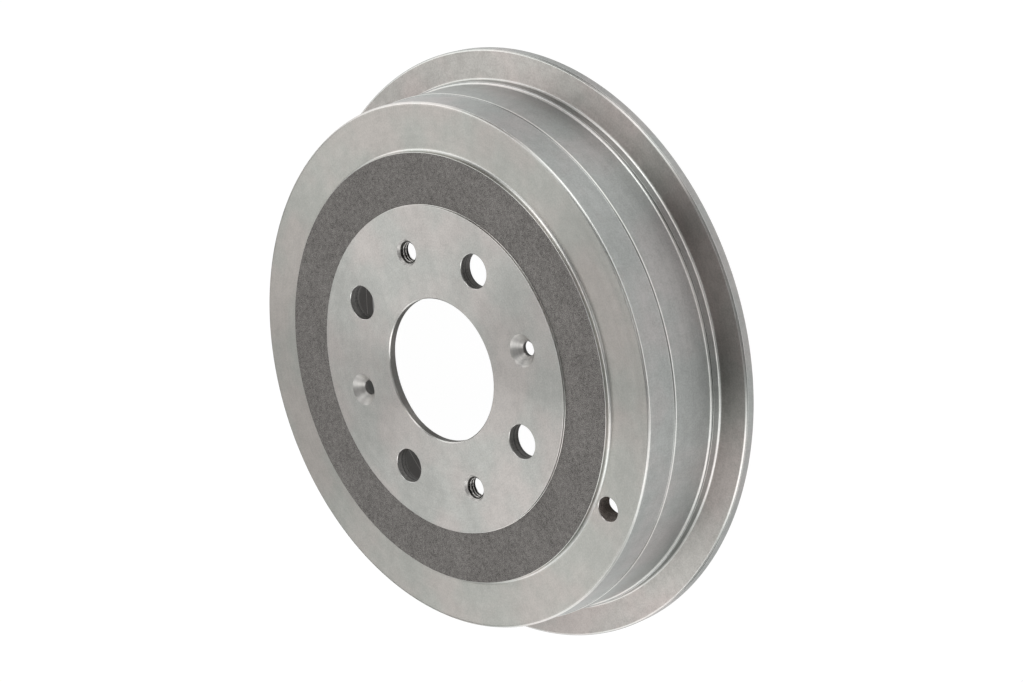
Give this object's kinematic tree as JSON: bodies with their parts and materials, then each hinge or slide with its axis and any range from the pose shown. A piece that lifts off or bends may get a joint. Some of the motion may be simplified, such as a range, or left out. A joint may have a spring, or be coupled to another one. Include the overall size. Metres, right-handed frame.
{
  "type": "brake drum",
  "caption": "One-piece cast and turned brake drum: flat mounting face with hub bore and bolt holes, smooth braking surface inside, stiffening flange near the open end.",
  "frame": {"origin": "centre of the open end, on the surface that the drum lies on", "axes": "+Z along the drum's axis, from the open end towards the mounting face; the two threaded holes lie on X, the two countersunk holes on Y, and the inspection hole halfway between -X and -Y"},
  "size_m": [0.2714, 0.2714, 0.0672],
  "materials": {
    "iron": "turned faces with fine lathe marks, an as-cast ring on the front"
  },
  "bodies": {
    "root": {"drum": "iron"}
  },
  "joints": []
}
